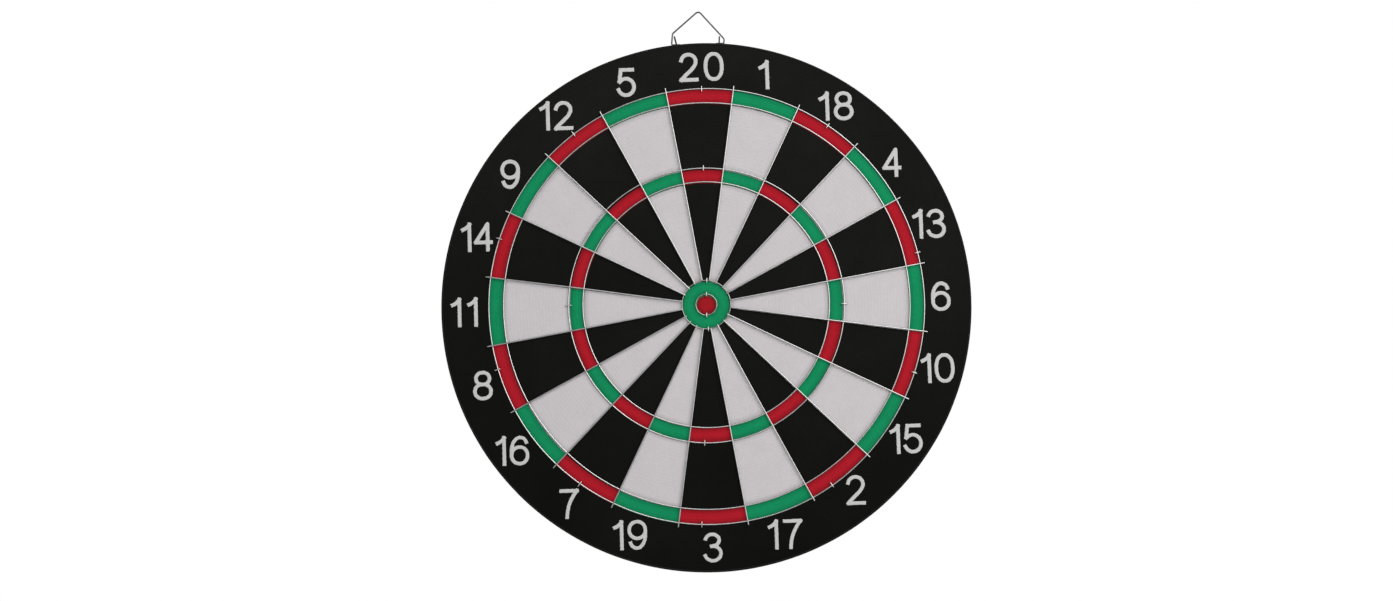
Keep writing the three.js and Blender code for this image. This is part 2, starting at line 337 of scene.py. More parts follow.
def wire_material(name, colour, smooth, rough):
    """Drawn and plated steel wire: fine scratches along it and a faint film here and there."""
    shader = Shader(name, {"Metallic": 1.0, "Specular IOR Level": 0.5})
    film = shader.noise(6, 4)
    scratches = shader.noise(0.35, 2)
    tone = shader.spread(film, 0.92, 1.03)
    shader.colour(shader.shaded(colour, tone))
    wear = shader.maths("MULTIPLY_ADD", scratches, 0.4)
    shader.feed(wear.node.inputs[2], shader.maths("MULTIPLY", film, 0.6))
    shader.roughness(shader.spread(wear, smooth, rough))
    shader.bump(scratches, 0.06, 0.03)
    return shader.material


def paper_material():
    """Kraft strip wound on edge: thin layers seen end on."""
    shader = Shader("wound_paper", {"Specular IOR Level": 0.25})
    layers = shader.rings(0.6, 2.5)
    fibres = shader.noise(3, 5)
    tone = shader.spread(layers, 0.72, 1.08, 0.0, 1.0)
    brown = shader.blend(fibres, linear(150, 112, 74), linear(186, 150, 106))
    shader.colour(shader.shaded(brown, tone))
    shader.roughness(shader.spread(fibres, 0.8, 0.98))
    shader.bump(layers, 0.4, 0.2)
    return shader.material


def sheet_material():
    """The dyed paper that the flock is glued to."""
    shader = Shader("face_paper", {"Specular IOR Level": 0.2})
    fibres = shader.noise(1.5, 4)
    shader.colour(shader.shaded(linear(40, 38, 36), shader.spread(fibres, 0.8, 1.2)))
    shader.roughness(shader.spread(fibres, 0.85, 0.98))
    shader.bump(fibres, 0.3, 0.1)
    return shader.material


def binding_material():
    """Black bookcloth tape: a fine crosswise rib, worn a little paler in patches."""
    shader = Shader("edge_binding", {"Specular IOR Level": 0.18})
    weave = shader.noise(0.5, 2, stretch=(1.0, 2.2, 1.0))
    scuffs = shader.noise(9, 5)
    dark = linear(17, 17, 16)
    pale = linear(33, 33, 31)
    worn = shader.spread(scuffs, 0.0, 0.45, 0.5, 0.75)
    shader.colour(shader.shaded(shader.blend(worn, dark, pale), shader.spread(weave, 0.85, 1.15)))
    shader.roughness(shader.spread(scuffs, 0.68, 0.88))
    shader.bump(weave, 0.45, 0.15)
    return shader.material


# ---------------------------------------------------------------- flocked pads
def artwork_shift(radius):
    """How far down a point of the artwork lies: all of the drop on the scores, none at the rim."""
    return ARTWORK_DROP * (1 - smoothstep((radius - DOUBLE[1]) / (FLOCK_EDGE - DOUBLE[1])))


def stations(low, high, step):
    """Places from low to high, close together where the pile rolls down, and its drop at each."""
    near = [(low + inset, drop) for inset, drop in EDGE_ROLL]
    far = [(high - inset, drop) for inset, drop in reversed(EDGE_ROLL)]
    start, end = near[-1][0], far[0][0]
    count = max(2, round((end - start) / step))
    middle = [(start + (end - start) * k / count, 0.0) for k in range(1, count)]
    places = near + middle + far
    return [p for p, _ in places], [d for _, d in places]


def on_face(radius, clock, drop, top):
    """Millimetre points of the pile's surface, from arrays of radius, clock angle and drop."""
    x, z = clock_xz(radius, clock)
    z = z - artwork_shift(radius)
    settled = smoothstep((FLOCK_EDGE - radius) / 2)
    x = x + 0.1 * EDGE_WOBBLE_X.at(x, z) * settled
    z = z + 0.1 * EDGE_WOBBLE_Z.at(x, z) * settled
    relief = 0.02 * FACE_SWELL.at(x, z) + 0.018 * PILE_LUMPS.at(x, z)
    return np.stack([x, top + drop + relief, z], -1)


def grid_faces(rows, columns, wrap):
    """Quads over a grid of vertices, whose last column joins its first if wrap is true."""
    last = columns if wrap else columns - 1
    faces = []
    for i in range(rows - 1):
        for j in range(last):
            k = (j + 1) % columns
            here, there = i * columns, (i + 1) * columns
            faces.append((here + j, here + k, there + k, there + j))
    return faces


def tube_faces(rows, columns, joined):
    """Quads round a tube of rows, whose two ends are joined up or each closed by a flat face."""
    faces = grid_faces(rows, columns, True)
    last = (rows - 1) * columns
    if joined:
        following = (*range(1, columns), 0)
        faces += [(last + j, last + k, k, j) for j, k in enumerate(following)]
    else:
        faces += [tuple(range(columns)), tuple(range(last, last + columns))]
    return faces


def sector_pad(low, high, clock_low, clock_high, step=2.6, top=PILE_TOP):
    """A closed pad of flock between two radii and two clock angles."""
    radii, radial_drop = stations(low, high, step)
    radii = np.array(radii)[:, None]
    widest = math.radians(clock_high - clock_low) * high
    count = max(4, round(widest / step))
    inset = np.array([i for i, _ in EDGE_ROLL])
    edge_drop = np.array([d for _, d in EDGE_ROLL])
    per_degree = np.radians(1.0) * radii
    left = clock_low + inset[None, :] / per_degree
    right = clock_high - inset[::-1][None, :] / per_degree
    share = np.arange(1, count)[None, :] / count
    middle = left[:, -1:] * (1 - share) + right[:, :1] * share
    clocks = np.concatenate([left, middle, right], 1)
    drop = np.concatenate([edge_drop, np.zeros(count - 1), edge_drop[::-1]])
    drop = np.maximum(np.array(radial_drop)[:, None], drop[None, :])
    points = on_face(radii + 0 * clocks, clocks, drop, top)
    rows, columns = clocks.shape
    vertices = points.reshape(-1, 3).tolist()
    faces = grid_faces(rows, columns, False)
    rim = list(range(columns))
    rim += [i * columns + columns - 1 for i in range(1, rows)]
    rim += [(rows - 1) * columns + j for j in range(columns - 2, -1, -1)]
    rim += [i * columns for i in range(rows - 2, 0, -1)]
    return with_foot(vertices, faces, rim)


def with_foot(vertices, faces, rim):
    """Closes a pad: a wall down from its rim of vertices, and one flat face below."""
    start = len(vertices)
    vertices = vertices + [[vertices[i][0], PILE_FOOT, vertices[i][2]] for i in rim]
    size = len(rim)
    faces = list(faces)
    for k in range(size):
        n = (k + 1) % size
        faces.append((rim[k], rim[n], start + n, start + k))
    faces.append(tuple(range(start, start + size)))
    return vertices, faces


def ring_pad(low, high, step, columns, top=PILE_TOP):
    """A closed pad of flock all the way round between two radii."""
    radii, drop = stations(low, high, step)
    clocks = np.arange(columns)[None, :] * 360 / columns
    radii = np.array(radii)[:, None] + 0 * clocks
    points = on_face(radii, clocks + 0 * radii, np.array(drop)[:, None] + 0 * clocks, top)
    rows = radii.shape[0]
    inner = points[0].copy()
    outer = points[-1].copy()
    inner[:, 1] = PILE_FOOT
    outer[:, 1] = PILE_FOOT
    section = np.concatenate([inner[None], points, outer[None]])
    return section.reshape(-1, 3).tolist(), tube_faces(rows + 2, columns, True)


def disc_pad(high, step, columns, top=PILE_TOP):
    """A closed round pad of flock."""
    radii, drop = stations(0, high, step)
    keep = [k for k, r in enumerate(radii) if r > 0.6]
    radii = np.array([radii[k] for k in keep])[:, None]
    drop = np.array([drop[k] for k in keep])[:, None]
    clocks = np.arange(columns)[None, :] * 360 / columns
    points = on_face(radii + 0 * clocks, clocks + 0 * radii, drop + 0 * clocks, top)
    rows = radii.shape[0]
    vertices = points.reshape(-1, 3).tolist()
    faces = grid_faces(rows, columns, True)
    vertices.append([0.0, top, -ARTWORK_DROP])
    centre = len(vertices) - 1
    for j in range(columns):
        faces.append((centre, (j + 1) % columns, j))
    rim = [(rows - 1) * columns + j for j in range(columns)]
    return with_foot(vertices, faces, rim)


def segment_edges(index):
    """The two clock angles between which a number's segment lies."""
    middle = index * SEGMENT
    return middle - SEGMENT / 2, middle + SEGMENT / 2


def every_other(low, high, first):
    """Pads on every second segment, from the first."""
    chosen = range(first, len(NUMBERS), 2)
    return merged([sector_pad(low, high, *segment_edges(i)) for i in chosen])


def add_flocked_face(finishes):
    """The scoring face: one closed pad, or one set of pads, for each field of colour."""
    black, white, red, green = (finishes[c] for c in ("black", "white", "red", "green"))
    singles = ((OUTER_BULL, TREBLE[0]), (TREBLE[1], DOUBLE[0]))
    dark = merged([every_other(low, high, 0) for low, high in singles])
    pale = merged([every_other(low, high, 1) for low, high in singles])
    number_ring = ring_pad(DOUBLE[1], FLOCK_EDGE, 1.8, 540)
    piece("number_ring_flock", number_ring, black, replaces=("front_flocked_face",))
    piece("black_segment_flock", dark, black)
    piece("white_segment_flock", pale, white)
    piece("double_ring_red_flock", every_other(*DOUBLE, 0), red)
    piece("double_ring_green_flock", every_other(*DOUBLE, 1), green)
    piece("treble_ring_red_flock", every_other(*TREBLE, 0), red)
    piece("treble_ring_green_flock", every_other(*TREBLE, 1), green)
    piece("outer_bull_green_flock", ring_pad(INNER_BULL, OUTER_BULL, 0.9, 96), green)
    piece("inner_bull_red_flock", disc_pad(INNER_BULL, 0.9, 72), finishes["bull red"])


# ---------------------------------------------------------------- turned shapes
def turned(profile, clocks, hollow):
    """A shape turned about the board's axis, from rows of a radius and a y.

    Either may vary by clock angle. The rows close up into the section of a ring if hollow is
    true, and otherwise a flat face closes the first and the last.
    """
    rows = []
    for radius, y in profile:
        x, z = clock_xz(radius + 0 * clocks, clocks)
        rows.append(np.stack([x, y + 0 * clocks, z], -1))
    vertices = np.concatenate(rows).reshape(-1, 3).tolist()
    return vertices, tube_faces(len(rows), len(clocks), hollow)


def even_clocks(count):
    return np.arange(count) * 360 / count


def add_face_sheet(material):
    """The sheet that the flock stands on, a disc."""
    flat_radius = 150.0
    profile = (
        (flat_radius, SHEET_FRONT),
        (FLOCK_EDGE - 0.3, SHEET_FRONT),
        (FLOCK_EDGE, PILE_FOOT),
        (FLOCK_EDGE, SHEET_BACK),
        (flat_radius, SHEET_BACK),
    )
    piece("front_face_sheet", turned(profile, even_clocks(180), False), material)


def add_rear_face(material):
    """The flocked rear sheet, where the wound strip shows as a low spiral."""
    high_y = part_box("rear_flocked_face")[1].y / MM
    low_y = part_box("rear_flocked_face")[0].y / MM
    clocks = even_clocks(240)
    turn_pitch = 5.2
    groove_depth = 0.17
    flat_edge = 208.2
    profile = [(FLOCK_EDGE, low_y), (FLOCK_EDGE, high_y - 0.3)]
    profile.append((FLOCK_EDGE - 0.2, high_y - 0.1))
    for radius in np.arange(flat_edge, 3.0, -0.8):
        x, z = clock_xz(radius, clocks)
        groove = 0.5 - 0.5 * np.cos(2 * np.pi * (radius / turn_pitch - clocks / 360))
        fade = smoothstep((flat_edge - radius) / 6)
        uneven = 0.02 * np.maximum(0, 1 + FACE_SWELL.at(x, z))
        profile.append((radius, high_y - 0.02 - uneven - groove_depth * groove * fade))
    vertices, faces = turned(profile, clocks, False)
    piece("rear_flock", (vertices, faces), material, replaces=("rear_flocked_face",))


def add_rim_binding(material):
    """A tape round the edge, turned over both faces and lapped where its ends meet."""
    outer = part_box("rim_band")[1].x / MM
    seam, step_up = 171.0, 0.06  # degrees
    lap_end, step_down = seam + 7.0, 1.0
    near = [seam - step_up, seam, seam + step_up]
    near += [lap_end - step_down, lap_end, lap_end + step_down]
    clocks = np.array(sorted(set(even_clocks(360).tolist() + near)))
    rise = smoothstep((clocks - seam) / step_up)
    fall = smoothstep((clocks - lap_end + step_down) / (2 * step_down))
    lapped = 0.07 * rise * (1 - fall)
    # From the tape's edge on the scoring face, round the rim to the rear face, and back inside:
    # how far out from the rim, and the level.
    section = (
        (-1.75, FACE_Y - 0.16),
        (-1.2, FACE_Y - 0.24),
        (-0.7, FACE_Y - 0.22),
        (-0.35, FACE_Y - 0.08),
        (-0.1, FACE_Y + 0.25),
        *((0.0, FACE_Y + depth) for depth in (0.75, 3.0, 6.0, 9.5, 13.0, 16.0)),
        (0.0, -0.75),
        (-0.08, -0.3),
        (-0.35, -0.05),
        (-0.8, 0.0),
        (-1.5, -0.02),
        (-1.8, -0.12),
        (-1.5, -0.5),
        (-1.0, -1.0),
        (-1.0, FACE_Y + 1.0),
        (-1.4, FACE_Y + 0.4),
    )
    profile = []
    for offset, y in section:
        radius = outer - 0.12 + offset
        x, z = clock_xz(radius, clocks)
        share = 1.0 if offset > -0.5 else 0.3
        ripple = 0.02 * FACE_SWELL.at(x, z + 3 * y) * share
        profile.append((radius + ripple + lapped * share, y))
    shape = turned(profile, clocks, True)
    piece("rim_binding", shape, material, replaces=("rim_band",))


# ---------------------------------------------------------------- wires
def rounded_line(corners, bends, step_angle=12):
    """A line through corners with round bends, as points; bends holds one radius per corner."""
    points = [Vector(corners[0])]
    for i, bend in enumerate(bends, start=1):
        corner = Vector(corners[i])
        into = (corner - Vector(corners[i - 1])).normalized()
        out = (Vector(corners[i + 1]) - corner).normalized()
        turn = into.angle(out)
        inward = (out - into * out.dot(into)).normalized()
        start = corner - into * bend * math.tan(turn / 2)
        centre = start + inward * bend
        count = max(2, math.ceil(math.degrees(turn) / step_angle))
        for k in range(count + 1):
            a = turn * k / count
            points.append(centre - inward * bend * math.cos(a) + into * bend * math.sin(a))
    points.append(Vector(corners[-1]))
    return spaced(points, 0.9)


def spaced(points, longest):
    """The same line with long straight runs cut into shorter ones."""
    result = [points[0]]
    for a, b in zip(points, points[1:]):
        gap = (b - a).length
        if gap < 1e-6:
            continue
        count = max(1, math.ceil(gap / longest))
        result.extend(a.lerp(b, k / count) for k in range(1, count + 1))
    return result


def wire(path, radii, side, sides=14, closed=False):
    """A round wire along a line that runs about square to side; its ends are rounded."""
    points = [Vector(p) for p in path]
    side = Vector(side).normalized()
    radii = list(radii)
    if not closed:
        points, radii = capped(points, radii)
    count = len(points)
    vertices = []
    for i, point in enumerate(points):
        before = points[i - 1] if closed or i > 0 else points[0]
        after = points[(i + 1) % count] if closed or i < count - 1 else points[-1]
        along = (after - before).normalized()
        beside = (side - along * along.dot(side)).normalized()
        across = along.cross(beside)
        for k in range(sides):
            a = 2 * math.pi * (k + 0.5) / sides
            vertices.append(point + (beside * math.cos(a) + across * math.sin(a)) * radii[i])
    return [tuple(v) for v in vertices], tube_faces(count, sides, closed)


def capped(points, radii):
    """Adds short shrinking steps at both ends, inside the line's own length."""
    # How far in from the end, and how thick there, as shares of the wire's radius.
    steps = ((0.03, 0.45), (0.18, 0.8), (0.5, 0.97))
    first = (points[1] - points[0]).normalized()
    last = (points[-2] - points[-1]).normalized()
    head = [(points[0] + first * radii[0] * s, radii[0] * r) for s, r in steps]
    tail = [(points[-1] + last * radii[-1] * s, radii[-1] * r) for s, r in reversed(steps)]
    middle = [
        (p, r)
        for p, r in zip(points, radii)
        if (p - points[0]).length > radii[0] * 0.8 and (p - points[-1]).length > radii[-1] * 0.8
    ]
    line = head + middle + tail
    return [p for p, _ in line], [r for _, r in line]


def ring_facts(name):
    """Centre-line radius, level and wire radius of a CAD ring, whose section has six sides."""
    low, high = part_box(name)
    wire_radius = (high.y - low.y) / 2 / MM
    radius = high.x / MM - wire_radius * math.cos(math.pi / 6)
    return radius, (low.y + high.y) / 2 / MM, wire_radius


def add_ring_wire(name, index, finish):
    """A hand-formed hoop: slightly out of round, with a ground-down butt weld."""
    radius, y, wire_radius = ring_facts(name)
    rng = np.random.default_rng(60 + index)
    count = max(96, round(radius * 2))
    clocks = even_clocks(count)
    angles = np.radians(clocks)
    wander = np.zeros(count)
    for waves, size in ((2, 0.22), (3, 0.16), (5, 0.12), (8, 0.05)):
        wander += size * np.sin(waves * angles + rng.uniform(0, 6.3))
    wander *= min(1.0, radius / 110)
    x, z = clock_xz(radius + wander, clocks)
    ripple = 0.03 * np.sin(10 * angles + index)
    right, up = RINGS[name]
    path = np.stack([x + right, y + ripple, z + up], -1)
    weld = rng.uniform(150, 210)
    from_weld = np.radians(np.abs(clocks - weld)) * radius
    thick = wire_radius * (1 + 0.09 * np.exp(-((from_weld / 1.4) ** 2)))
    shape = wire(path, thick, (0, 1, 0), sides=12, closed=True)
    piece(name.replace("_ring_wire", "_ring"), shape, finish, replaces=(name,))


def clock_of(name):
    """The clock angle of a radial CAD piece, and the radius of its middle."""
    low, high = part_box(name)
    middle = (low + high) / 2 / MM
    return math.degrees(math.atan2(middle.x, middle.z)), math.hypot(middle.x, middle.z)


def add_spoke(index, ring_radii, finish):
    """A straight wire pressed and spot-welded onto each ring that it crosses."""
    number = NUMBERS[index]
    following = NUMBERS[(index + 1) % len(NUMBERS)]
    name = f"spoke_wire_{number}_{following}"
    clock, middle = clock_of(name)
    low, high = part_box(name)
    reach = (Vector((high.x - low.x, 0, high.z - low.z)) / MM).length / 2
    rng = np.random.default_rng(200 + index)
    y = high.y / MM - SPOKE_WIRE
    along = np.arange(middle - SPOKE_HALF_LENGTH, middle + SPOKE_HALF_LENGTH + 0.1, 1.0)
    along = along[np.abs(along - middle) <= reach]
    near_welds = [r + d for r in ring_radii for d in (-0.9, -0.45, 0.0, 0.45, 0.9)]
    inside = [r for r in near_welds if along[0] + 1 < r < along[-1] - 1]
    along = np.array(sorted(set(along.tolist() + inside)))
    share = (along - along[0]) / (along[-1] - along[0])
    bow = rng.uniform(-0.28, 0.28) * np.sin(math.pi * share) + SPOKES_ASIDE.get(number, 0.0)
    bow = bow + rng.uniform(-0.1, 0.1) * np.sin(3 * math.pi * share)
    pressed = np.zeros(len(along))
    for radius in ring_radii:
        pressed += np.exp(-(((along - radius) / 0.75) ** 2))
    out_x, out_z = clock_xz(1.0, clock)
    x = out_x * along + out_z * bow
    z = out_z * along - out_x * bow
    path = np.stack([x, y + 0.08 * pressed, z], -1)
    thick = SPOKE_WIRE * (1 + 0.1 * pressed) - 0.02
    shape = wire(path, thick, (0, 1, 0), sides=12)
    piece(name.replace("spoke_wire", "spoke"), shape, finish, replaces=(name,))


def add_staple(name, finish):
    """A staple driven over its ring: the crown lies across the wire, the legs go into the board."""
    clock, ring_radius = clock_of(name)
    low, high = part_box(name)
    crown_y = low.y / MM + STAPLE_WIRE
    half_span = NARROW_STAPLE_HALF_SPAN if "bull" in name else WIDE_STAPLE_HALF_SPAN
    tip_y = FACE_Y + STAPLE_DEPTH
    corners = (
        (0, tip_y, ring_radius - half_span),
        (0, crown_y, ring_radius - half_span),
        (0, crown_y, ring_radius + half_span),
        (0, tip_y, ring_radius + half_span),
    )
    path = rounded_line(corners, (STAPLE_BEND, STAPLE_BEND), 15)
    turn = Matrix.Rotation(math.radians(clock), 3, "Y")
    path = [turn @ p for p in path]
    shape = wire(path, [STAPLE_WIRE] * len(path), turn @ Vector((1, 0, 0)), sides=10)
    piece(name + "_wire", shape, finish, replaces=(name,))


def add_eye(name, finish):
    """A narrow wire loop standing in the rim, one leg behind the other, its loop leaning over."""
    x, crown_x = EYES[name]
    low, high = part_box(name)
    middle_y = (low.y + high.y) / 2 / MM
    tip = low.z / MM
    top = high.z / MM - EYE_WIRE
    side = ((x, tip), (x, EYE_LEAN_Z), (crown_x, top))
    front = [(px, middle_y - EYE_HALF_SPAN, z) for px, z in side]
    back = [(px, middle_y + EYE_HALF_SPAN, z) for px, z in reversed(side)]
    path = rounded_line(front + back, EYE_BENDS, 10)
    shape = wire(path, [EYE_WIRE] * len(path), (1, 0, 0), sides=16)
    piece(name + "_wire", shape, finish, replaces=(name,))


def add_bail(finish):
    """The wire that the board hangs by, bent by hand, with its two feet turned inward."""
    low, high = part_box("hanger_bail")
    y = (low.y + high.y) / 2 / MM
    path = rounded_line([(x, y, z) for x, z in BAIL_CORNERS], BAIL_BENDS, 8)
    shape = wire(path, [BAIL_WIRE] * len(path), (0, 1, 0), sides=16)
    replaced = ("hanger_bail",)
    piece("hanger_bail_wire", shape, finish, body="bail", replaces=replaced)


# ---------------------------------------------------------------- numerals
STROKE = 1.57  # half the width of a stroke
STROKE_GAIN = 0.08  # how much more it is at the top of the board, and less at the bottom
HALF = 10.05  # half the height of a digit's centre line, before DIGIT_SCALE
DIGIT_SCALE = (1.03, 1.02)
GRID = 0.34  # the spacing of a numeral's mesh
SHOULDER = 0.75  # how far in from its edge it is fully raised
# Each number's offset from its segment's middle in degrees, its distance from the bull, and the
# distance between its two digits.
NUMBER_PLACES = {
    20: (0.6, 190.5, 20.0),
    1: (-2.1, 189.5, 0),
    18: (-1.5, 188.5, 15.5),
    4: (0.3, 186.0, 0),
    13: (-0.3, 186.5, 14.5),
    6: (-0.2, 185.5, 0),
    10: (-0.6, 187.5, 14.5),
    15: (0.1, 188.0, 14.0),
    2: (-1.0, 187.0, 0),
    17: (1.4, 190.0, 15.5),
    3: (0.3, 190.5, 0),
    19: (2.6, 191.0, 15.0),
    7: (0.3, 190.0, 0),
    16: (1.1, 192.5, 14.5),
    8: (-0.1, 187.5, 0),
    11: (0.0, 191.5, 13.0),
    14: (0.1, 191.5, 13.5),
    9: (-0.5, 187.5, 0),
    12: (-1.0, 193.8, 15.0),
    5: (0.0, 189.0, 0),
}


def arc(x, z, rx, rz, start, end, steps=22):
    """Points of an elliptical arc; degrees run anticlockwise from the right."""
    angles = np.radians(np.linspace(start, end, steps))
    return [(x + rx * math.cos(a), z + rz * math.sin(a)) for a in angles]


def loop(x, z, rx, rz, power):
    """A closed oval, squarer than an ellipse when power is over 2."""
    points = []
    for a in np.radians(np.linspace(0, 360, 41)):
        c, s = math.cos(a), math.sin(a)
        px = math.copysign(abs(c) ** (2 / power), c)
        pz = math.copysign(abs(s) ** (2 / power), s)
        points.append((x + rx * px, z + rz * pz))
    return points


def softened(points, times=2):
    """Cuts the corners of an open line, and keeps its ends."""
    for _ in range(times):
        cut = [points[0]]
        for (ax, az), (bx, bz) in zip(points, points[1:]):
            cut.append((0.75 * ax + 0.25 * bx, 0.75 * az + 0.25 * bz))
            cut.append((0.25 * ax + 0.75 * bx, 0.25 * az + 0.75 * bz))
        cut.append(points[-1])
        points = cut
    return points


def six():
    """The two strokes of a 6."""
    hook = arc(0.6, 5.1, 4.9, 4.95, 14, 122, 14)
    hook += [(-4.5, 6.5), (-5.7, 3.0), (-6.05, -0.5), (-6.0, -3.7)]
    return [softened(hook, 1), loop(0.1, -3.7, 6.1, 6.35, 2.1)]


def turned_over(strokes):
    """The same strokes turned by half a turn."""
    return [[(-x, -z) for x, z in stroke] for stroke in strokes]


# The centre lines of each digit's strokes, about its middle.
DIGITS = {
    "0": [loop(0, 0, 6.3, HALF, 2.25)],
    "1": [
        [(2.5, -HALF), (2.5, HALF)],
        softened([(2.5, HALF), (1.1, 8.1), (-0.8, 6.7), (-2.6, 5.9)]),
    ],
    "2": [
        softened(
            arc(-0.1, 4.5, 5.7, 5.55, 170, -25)
            + [(3.6, -0.4), (0.9, -3.2), (-2.4, -6.2), (-4.9, -8.7), (-5.9, -HALF)],
            1,
        ),
        [(-5.9, -HALF), (6.0, -HALF)],
    ],
    "3": [
        arc(-0.3, 5.6, 5.2, 4.45, 165, -78) + [(-0.9, 1.0)],
        arc(-0.1, -4.5, 6.1, 5.55, 84, -163),
    ],
    "4": [[(3.4, -HALF), (3.4, HALF), (-6.0, -4.3), (5.9, -4.3)]],
    "5": [
        [(5.0, HALF), (-3.9, HALF)],
        [(-4.0, 9.4), (-5.1, 1.0)],
        arc(-0.1, -3.5, 6.2, 6.55, 140, -160),
    ],
    "6": six(),
    "7": [
        [(-6.0, HALF), (6.0, HALF)],
        softened([(6.0, HALF), (2.9, 5.8), (0.3, 0.8), (-1.3, -4.6), (-1.9, -HALF)]),
    ],
    "8": [loop(0, 5.4, 5.2, 4.65, 2.1), loop(0, -4.55, 6.2, 5.5, 2.1)],
    "9": turned_over(six()),
}


def nearest(x, z, strokes):
    """For each point, the nearest point of the strokes' centre lines, and its distance.

    Beyond a stroke's loose end the distance is the larger of along and across, so that lines of
    even distance, and with them the strokes of the numerals, end square.
    """
    best = np.full(x.shape, np.inf)
    near_x = np.zeros(x.shape)
    near_z = np.zeros(x.shape)
    for stroke in strokes:
        last = len(stroke) - 2
        loose = math.dist(stroke[0], stroke[-1]) > 0.1
        for k, ((ax, az), (bx, bz)) in enumerate(zip(stroke, stroke[1:])):
            dx, dz = bx - ax, bz - az
            length = math.hypot(dx, dz)
            if length < 1e-6:
                continue
            along = ((x - ax) * dx + (z - az) * dz) / length
            across = np.abs((x - ax) * dz - (z - az) * dx) / length
            t = np.clip(along / length, 0, 1)
            px, pz = ax + t * dx, az + t * dz
            distance = np.hypot(x - px, z - pz)
            if loose and k == 0:
                distance = np.where(along < 0, np.maximum(-along, across), distance)
            if loose and k == last:
                past = along - length
                distance = np.where(past > 0, np.maximum(past, across), distance)
            closer = distance < best
            best = np.where(closer, distance, best)
            near_x = np.where(closer, px, near_x)
            near_z = np.where(closer, pz, near_z)
    return near_x, near_z, best


NUMERAL_EDGE = Waves(7, 3.0)


def half_stroke(x, z):
    """Half the width of a stroke there: a stencil's edge is never quite true."""
    return STROKE + STROKE_GAIN * z / 190 + 0.06 * NUMERAL_EDGE.at(x, z)


def onto_edge(x, z, strokes):
    """Moves points square to the strokes onto their outline."""
    near_x, near_z, distance = nearest(x, z, strokes)
    scale = half_stroke(x, z) / np.maximum(distance, 1e-9)
    return near_x + (x - near_x) * scale, near_z + (z - near_z) * scale


def numeral_shape(strokes):
    """Cells that fill the strokes, their x, z and depth inside the edge, and how raised each is.

    Grid points just inside or outside the edge are moved onto it, so that no cell is a sliver.
    """
    flat = np.array([p for stroke in strokes for p in stroke])
    low = flat.min(0) - STROKE - 2 * GRID
    high = flat.max(0) + STROKE + 2 * GRID
    xs = np.arange(low[0], high[0], GRID)
    zs = np.arange(low[1], high[1], GRID)
    x, z = np.meshgrid(xs, zs, indexing="ij")
    distance = nearest(x, z, strokes)[2]
    depth = half_stroke(x, z) - distance
    snap = np.abs(depth) < 0.3 * GRID
    edge_x, edge_z = onto_edge(x, z, strokes)
    x = np.where(snap, edge_x, x)
    z = np.where(snap, edge_z, z)
    depth = np.where(snap, 0.0, depth)

    points = []
    lookup = {}

    def corner(i, j):
        key = (i, j)
        if key not in lookup:
            lookup[key] = len(points)
            points.append((x[i, j], z[i, j], depth[i, j]))
        return lookup[key]

    def crossing(a, b):
        key = (min(a, b), max(a, b))
        if key not in lookup:
            share = depth[a] / (depth[a] - depth[b])
            px = x[a] + (x[b] - x[a]) * share
            pz = z[a] + (z[b] - z[a]) * share
            ex, ez = onto_edge(np.array([px]), np.array([pz]), strokes)
            lookup[key] = len(points)
            points.append((float(ex[0]), float(ez[0]), 0.0))
        return lookup[key]

    cells = []
    inside = depth >= 0
    touched = inside[:-1, :-1] | inside[1:, :-1] | inside[:-1, 1:] | inside[1:, 1:]
    for i, j in np.argwhere(touched):
        ring = ((i, j), (i + 1, j), (i + 1, j + 1), (i, j + 1))
        cell = []
        for a, b in zip(ring, ring[1:] + ring[:1]):
            if inside[a]:
                cell.append(corner(*a))
            if depth[a] * depth[b] < 0:
                cell.append(crossing(a, b))
        if len(cell) >= 3:
            cells.append(tuple(cell))

    grid = np.array(points)
    rise = np.clip(grid[:, 2] / SHOULDER, 0, 1)
    crown = np.sqrt(np.clip(1 - (1 - rise) ** 2, 0, 1))
    return grid, crown, cells


def numeral_piece(number, finish):
    """One number as a closed, softly crowned pad of flock."""
    clock_offset, radius, spacing = NUMBER_PLACES[number]
    digits = str(number)
    strokes = []
    for k, digit in enumerate(digits):
        shift = (k - (len(digits) - 1) / 2) * spacing
        wide, tall = DIGIT_SCALE
        for stroke in DIGITS[digit]:
            strokes.append([(x * wide + shift, z * tall) for x, z in stroke])
    centre_x, centre_z = clock_xz(radius, NUMBERS.index(number) * SEGMENT + clock_offset)
    strokes = [[(x + centre_x, z + centre_z) for x, z in stroke] for stroke in strokes]
    grid, crown, cells = numeral_shape(strokes)
    count = len(grid)
    foot = PILE_TOP + NUMERAL_SINK
    top = PILE_TOP - NUMERAL_LIFT
    lumps = 0.02 * PILE_LUMPS.at(grid[:, 0], grid[:, 1]) * crown
    upper = np.stack([grid[:, 0], foot + (top - foot) * crown + lumps, grid[:, 1]], -1)
    lower = np.stack([grid[:, 0], np.full(count, foot + NUMERAL_BASE), grid[:, 1]], -1)
    border = border_edges(cells)
    faces = list(cells)
    faces += [tuple(i + count for i in reversed(cell)) for cell in cells]
    faces += [(b, a, a + count, b + count) for a, b in border]
    vertices = np.concatenate([upper, lower]).tolist()
    piece(f"numeral_{number}", (vertices, faces), finish)


def border_edges(cells):
    """The directed edges that only one cell has."""
    seen = set()
    for cell in cells:
        for a, b in zip(cell, cell[1:] + cell[:1]):
            seen.add((a, b))
    return [(a, b) for a, b in seen if (b, a) not in seen]


# ---------------------------------------------------------------- the stage
def stage_piece(name, shape, material):
    """A mesh in metres that is scenery and no part of the board."""
    vertices, faces = shape
    mesh = bpy.data.meshes.new(name)
    mesh.from_pydata(vertices, [], faces)
    mesh.materials.append(material)
    made = bpy.data.objects.new(name, mesh)
    bpy.context.scene.collection.objects.link(made)
    return made


